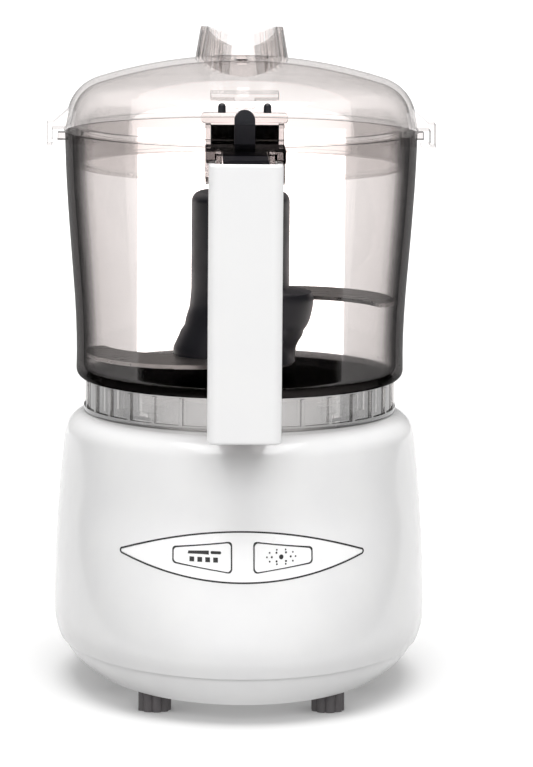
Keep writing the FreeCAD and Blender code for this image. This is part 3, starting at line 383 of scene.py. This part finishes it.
def hub():
    """Stem that swells into a sharp-topped wing over each blade's root, with the spindle's bore below."""
    def radius(z):
        def at_angle(angle):
            wings = (along(UPPER_WING, z) * lobe(angle, 14, 62), along(LOWER_WING, z) * lobe(angle, 194, 66),
                     along(FOOT_FLARE, z))
            return HUB_STEM_R + max(wings)
        return at_angle

    rings = [circle(0.3, HUB_BORE_TOP), circle(HUB_BORE_R - 0.6, HUB_BORE_TOP),
             circle(HUB_BORE_R, HUB_BORE_TOP - 0.6), circle(HUB_BORE_R, HUB_BOTTOM)]
    side = [HUB_BOTTOM + 0.9, 113, 115, 117, 119, 121, 123, 125, 127, 129, 131, 133, 134.5, 135.8, 136.6,
            137.2, 137.8, 138.4, 142, 150, 160, HUB_TOP - HUB_CORNER]
    bottom = radius(HUB_BOTTOM)
    rings.append(circle(lambda a: bottom(a) - 0.9, HUB_BOTTOM))
    rings += [circle(radius(z), z) for z in side]
    for i in range(1, 7):
        a = math.radians(15 * i)
        rings.append(circle(HUB_STEM_R - HUB_CORNER * (1 - math.cos(a)),
                            HUB_TOP - HUB_CORNER * (1 - math.sin(a))))
    rings.append(circle(0.3, HUB_TOP))
    piece("hub", [skin(rings)], "blade", MATERIALS["charcoal"], ["blade_hub"], smooth=50)


# ---- springs -------------------------------------------------------------------------------------
def springs():
    """Copies of the two coil springs that the rod and the pin press on."""
    for node, joint, body in (("rod_spring", "rod_slide", "bowl"), ("pin_spring", "pin_slide", "base")):
        wire = bpy.data.objects.new(node + "_wire", frame["nodes"][node].data.copy())
        bpy.context.collection.objects.link(wire)
        dress(wire, body, MATERIALS["spring_steel"], [node])
        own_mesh(wire)


# ---- marks on the control panel ------------------------------------------------------------------
PANEL_Z = 56.2
DECK_Z = 94.2
SIDE_HALF, SIDE_DRAFT, SIDE_Z, SIDE_RISE = 66.1, 3.3, 26.0, 60.2     # half width and how it draws in going up
CREASE_Z, CREASE_SHARE, CREASE_SOFT = 66.0, 0.55, 4.0                # soft crease over the panel
FALL_HEIGHT, FALL_POWER = 68.0, 8                                    # how the slope runs out low down
FRONT_REACH, BACK_REACH = 40.0, 11.6
PANEL_TILT = math.radians(30.6)


def front_of_base(x, z):
    """How far forward the base's skin is, at a place on its front slope."""
    half = SIDE_HALF - SIDE_DRAFT * ((z - SIDE_Z) / SIDE_RISE) ** 2
    above = z - CREASE_Z
    held_out = CREASE_SHARE * (above + math.hypot(above, CREASE_SOFT)) / 2
    fall = (DECK_Z - z + held_out) / FALL_HEIGHT
    stretch = fall / (1 + fall ** FALL_POWER) ** (1 / FALL_POWER)
    front, back = half + FRONT_REACH * stretch, half + BACK_REACH * stretch
    return (back - front) / 2 - (back + front) / 2 * math.sqrt(1 - (x / half) ** 2)


def on_panel(x, up, out):
    """Point of the front slope: across, height over the panel's middle, and out from the skin."""
    z = PANEL_Z + up
    return (x, front_of_base(x, z) - out * math.cos(PANEL_TILT), z + out * math.sin(PANEL_TILT))


def mark(outline, low, high):
    """Flat printed shape, as thin as a decal, laid on the panel. outline is a list of (x, up)."""
    return skin([[on_panel(x, up, low) for x, up in outline], [on_panel(x, up, high) for x, up in outline]])


def line_round(outline, width, low, high):
    """Printed line of one width round a closed outline."""
    rings = []
    count = len(outline)
    for i, (x, up) in enumerate(outline):
        x0, up0 = outline[i - 1]
        x1, up1 = outline[(i + 1) % count]
        run = math.hypot(x1 - x0, up1 - up0)
        nx, nu = (up1 - up0) / run * width / 2, -(x1 - x0) / run * width / 2
        rings.append([on_panel(x - nx, up - nu, low), on_panel(x + nx, up + nu, low),
                      on_panel(x + nx, up + nu, high), on_panel(x - nx, up - nu, high)])
    return skin(rings, closed=True)


def rounded(corners_2d, radius, steps=6):
    """Outline with its corners rounded by arcs."""
    out = []
    count = len(corners_2d)
    for i, corner in enumerate(corners_2d):
        here, last, ahead = (Vector(corner), Vector(corners_2d[i - 1]), Vector(corners_2d[(i + 1) % count]))
        to_last, to_ahead = (last - here).normalized(), (ahead - here).normalized()
        half_angle = to_last.angle(to_ahead) / 2
        centre = here + (to_last + to_ahead).normalized() * radius / math.sin(half_angle)
        a0 = here + to_last * radius / math.tan(half_angle) - centre
        a1 = here + to_ahead * radius / math.tan(half_angle) - centre
        start, sweep = math.atan2(a0.y, a0.x), a0.angle_signed(a1)
        for k in range(steps + 1):
            a = start - sweep * k / steps
            out.append((centre.x + radius * math.cos(a), centre.y + radius * math.sin(a)))
    return out


def bow(x0, x1, y_end, y_mid, steps=48):
    """Points along a circular arc over a chord, without its last point."""
    half = (x1 - x0) / 2
    rise = y_mid - y_end
    radius = (half * half + rise * rise) / (2 * abs(rise))
    sign = 1 if rise > 0 else -1
    out = []
    for i in range(steps):
        x = x0 + (x1 - x0) * i / steps
        off = x - (x0 + x1) / 2
        out.append((x, y_mid - sign * (radius - math.sqrt(radius * radius - off * off))))
    return out


PANEL_HALF, PANEL_UP, PANEL_DOWN, PANEL_TIP = 42.0, 7.9, -8.1, -0.9
KEY_IN, KEY_OUT = (4.1, 4.4, -4.8), (23.6, 2.1, -2.2)      # across, top and bottom of a key's two ends


TIP_R = 0.9
KEY_RISE = 0.3           # how far the keys stand out of the panel
INK = 0.08               # thickness of the print


def tip(x, start, steps=8):
    """Half circle round a tip of the almond, turning clockwise from a start angle."""
    turns = [math.radians(start - 180 * i / steps) for i in range(steps)]
    return [(x + TIP_R * math.cos(a), PANEL_TIP + TIP_R * math.sin(a)) for a in turns]


def panel_marks():
    """Fine almond line round the panel, a line round each key and a pictogram on it."""
    end = PANEL_HALF - TIP_R
    almond = (bow(-end, end, PANEL_TIP + TIP_R, PANEL_UP) + tip(end, 90)
              + bow(end, -end, PANEL_TIP - TIP_R, PANEL_DOWN) + tip(-end, 270))
    ink = MATERIALS["carbon"]
    piece("panel_line", [line_round(almond, 0.5, 0.0, 0.1)], "base", ink)
    for side, body in ((-1, "left_key"), (1, "right_key")):
        gap = 0.25
        key = [(side * (KEY_IN[0] - gap), KEY_IN[2] - gap), (side * (KEY_IN[0] - gap), KEY_IN[1] + gap),
               (side * (KEY_OUT[0] + gap), KEY_OUT[1] + gap), (side * (KEY_OUT[0] + gap), KEY_OUT[2] - gap)]
        if side < 0:
            key.reverse()
        piece(body + "_line", [line_round(rounded(key, 1.4), 0.5, -0.5, 0.06)], "base", ink)
    piece("left_key_mark", chop_mark(-13.2), "left_key", ink)
    piece("right_key_mark", grind_mark(13.2), "right_key", ink)


def chop_mark(x):
    """Knife over three cubes."""
    low, high = KEY_RISE - 0.05, KEY_RISE + INK
    blade = [(x - 5.6, 0.5), (x - 5.4, 1.4), (x + 1.6, 1.7), (x + 1.6, 0.5)]
    grip = rounded([(x + 2.2, 0.7), (x + 5.8, 0.7), (x + 5.8, 1.6), (x + 2.2, 1.6)], 0.4)
    solids = [mark(blade, low, high), mark(grip, low, high)]
    for i in range(4):
        left = x - 5.0 + 2.7 * i
        solids.append(mark([(left, -1.9), (left + 1.6, -1.9), (left + 1.6, -0.4), (left, -0.4)], low, high))
    return solids


def grind_mark(x):
    """Ring of fine grains round a larger one."""
    low, high = KEY_RISE - 0.05, KEY_RISE + INK
    solids = [mark(disc(x, -0.2, 0.75), low, high)]
    for count, radius, grain in ((6, 1.55, 0.34), (10, 2.35, 0.28)):
        for i in range(count):
            a = 2 * math.pi * i / count
            solids.append(mark(disc(x + 2.1 * radius * math.cos(a), -0.2 + radius * math.sin(a), grain),
                               low, high))
    return solids


def disc(x, up, radius, steps=20):
    return [(x + radius * math.cos(2 * math.pi * i / steps), up + radius * math.sin(2 * math.pi * i / steps))
            for i in range(steps)]


# ---- stage, lights and camera --------------------------------------------------------------------
def stage():
    """Pale floor that fills the view."""
    bpy.ops.mesh.primitive_plane_add(size=24.0, location=(0, 6.0, 0))
    floor = bpy.context.object
    floor.name = "floor"
    n = Nodes("floor_pale")
    shader = n.principled(Roughness=0.9, Emission_Color=(1, 1, 1, 1))
    n.join(n.ramp(n.noise(3.0), [(0.3, (0.82, 0.82, 0.82)), (0.7, (0.83, 0.83, 0.83))]),
           shader.inputs["Base Color"])
    back = n.add("ShaderNodeSeparateXYZ")
    n.join(n.place, back.inputs["Vector"])
    lift = n.add("ShaderNodeMapRange")
    lift.inputs["From Min"].default_value = -5.7
    lift.inputs["From Max"].default_value = -3.5
    lift.inputs["To Max"].default_value = 0.8
    n.join(back.outputs["Y"], lift.inputs["Value"])
    n.join(lift.outputs["Result"], shader.inputs["Emission Strength"])
    floor.data.materials.append(n.finish(shader.outputs["BSDF"]))
    floor.visible_diffuse = False


def area(name, place, aim, size, power, **flags):
    light = bpy.data.lights.new(name, "AREA")
    light.shape = "RECTANGLE"
    light.size, light.size_y = size
    light.energy = power
    lamp = bpy.data.objects.new(name, light)
    bpy.context.collection.objects.link(lamp)
    lamp.location = place
    lamp.rotation_euler = (Vector(aim) - Vector(place)).to_track_quat("-Z", "Y").to_euler()
    lamp.visible_camera = False
    for flag, value in flags.items():
        setattr(lamp, flag, value)
    return lamp


def strip_behind():
    """Upright soft box behind the bowl, as high as the lid's rim; it shows through the clear plastic."""
    width, height, back, glow = 0.091, 0.165, 0.35, 1.75
    y = AXIS_Y * MM + back
    x = y * math.tan(CAMERA_AZIMUTH)
    area("strip_behind", (x, y, height / 2), (x, y - 1.0, height / 2), (width, height),
         glow * math.pi * width * height, visible_camera=True, visible_glossy=False)


def world():
    """Even pale light; what shiny faces mirror is the same studio with its soft boxes and dark gaps."""
    studio = bpy.data.worlds.new("studio")
    studio.use_nodes = True
    tree = studio.node_tree
    tree.nodes.clear()

    def add(kind):
        return tree.nodes.new(kind)

    direction = add("ShaderNodeSeparateXYZ")
    tree.links.new(add("ShaderNodeTexCoord").outputs["Generated"], direction.inputs["Vector"])
    across = add("ShaderNodeMapRange")
    across.inputs["From Min"].default_value = -1.0
    tree.links.new(direction.outputs["X"], across.inputs["Value"])
    boxes = add("ShaderNodeValToRGB")
    stops = [(0.0, 0.03), (0.1, 0.06), (0.16, 0.6), (0.34, 0.7), (0.45, 0.35), (0.55, 0.2), (0.62, 0.2),
             (0.7, 0.65), (0.85, 0.6), (0.9, 0.06), (1.0, 0.03)]
    while len(boxes.color_ramp.elements) < len(stops):
        boxes.color_ramp.elements.new(0.5)
    for element, (place, value) in zip(boxes.color_ramp.elements, stops):
        element.position = place
        element.color = (value, value * 0.985, value * 0.98, 1.0)
    tree.links.new(across.outputs["Result"], boxes.inputs["Fac"])
    mirrored, even = add("ShaderNodeBackground"), add("ShaderNodeBackground")
    tree.links.new(boxes.outputs["Color"], mirrored.inputs["Color"])
    mirrored.inputs["Strength"].default_value = 1.0
    even.inputs["Color"].default_value = (1.0, 0.995, 0.99, 1.0)
    even.inputs["Strength"].default_value = 0.56
    path, mix, out = add("ShaderNodeLightPath"), add("ShaderNodeMixShader"), add("ShaderNodeOutputWorld")
    tree.links.new(path.outputs["Is Glossy Ray"], mix.inputs["Fac"])
    tree.links.new(even.outputs["Background"], mix.inputs[1])
    tree.links.new(mirrored.outputs["Background"], mix.inputs[2])
    tree.links.new(mix.outputs["Shader"], out.inputs["Surface"])
    bpy.context.scene.world = studio


def lights():
    world()
    area("top_soft", (0.0, -0.2, 1.5), (0, 0, 0.1), (1.2, 1.2), 20.0)
    area("front_soft", (0.0, -1.9, 1.1), (0, 0, 0.1), (1.2, 0.9), 13.0, visible_glossy=False)
    area("back_soft", (0.0, 1.8, 1.2), (0, 0.2, 0.0), (2.4, 1.2), 14.0, visible_glossy=False)
    strip_behind()


CAMERA_AZIMUTH = math.radians(1.0)


def camera():
    """The view is level, a little left of the front and looks down at the middle of the object."""
    azimuth, pitch, roll = CAMERA_AZIMUTH, math.radians(8.31), math.radians(0.4)
    reach, aim_z = 1.570, 0.1034
    data = bpy.data.cameras.new("view")
    data.lens = 204.6
    data.shift_x = 0.0352
    data.clip_start = 0.05
    cam = bpy.data.objects.new("view", data)
    bpy.context.collection.objects.link(cam)
    flat = reach * math.cos(pitch)
    cam.location = (-flat * math.sin(azimuth), AXIS_Y * MM - flat * math.cos(azimuth),
                    aim_z + reach * math.sin(pitch))
    turn = Matrix.Rotation(-azimuth, 4, "Z") @ Matrix.Rotation(math.pi / 2 - pitch, 4, "X")
    cam.rotation_euler = (turn @ Matrix.Rotation(roll, 4, "Z")).to_euler()
    bpy.context.scene.camera = cam


bpy.context.scene.view_settings.view_transform = "Standard"
dress_nodes()
hub()
springs()
panel_marks()
stage()
lights()
camera()
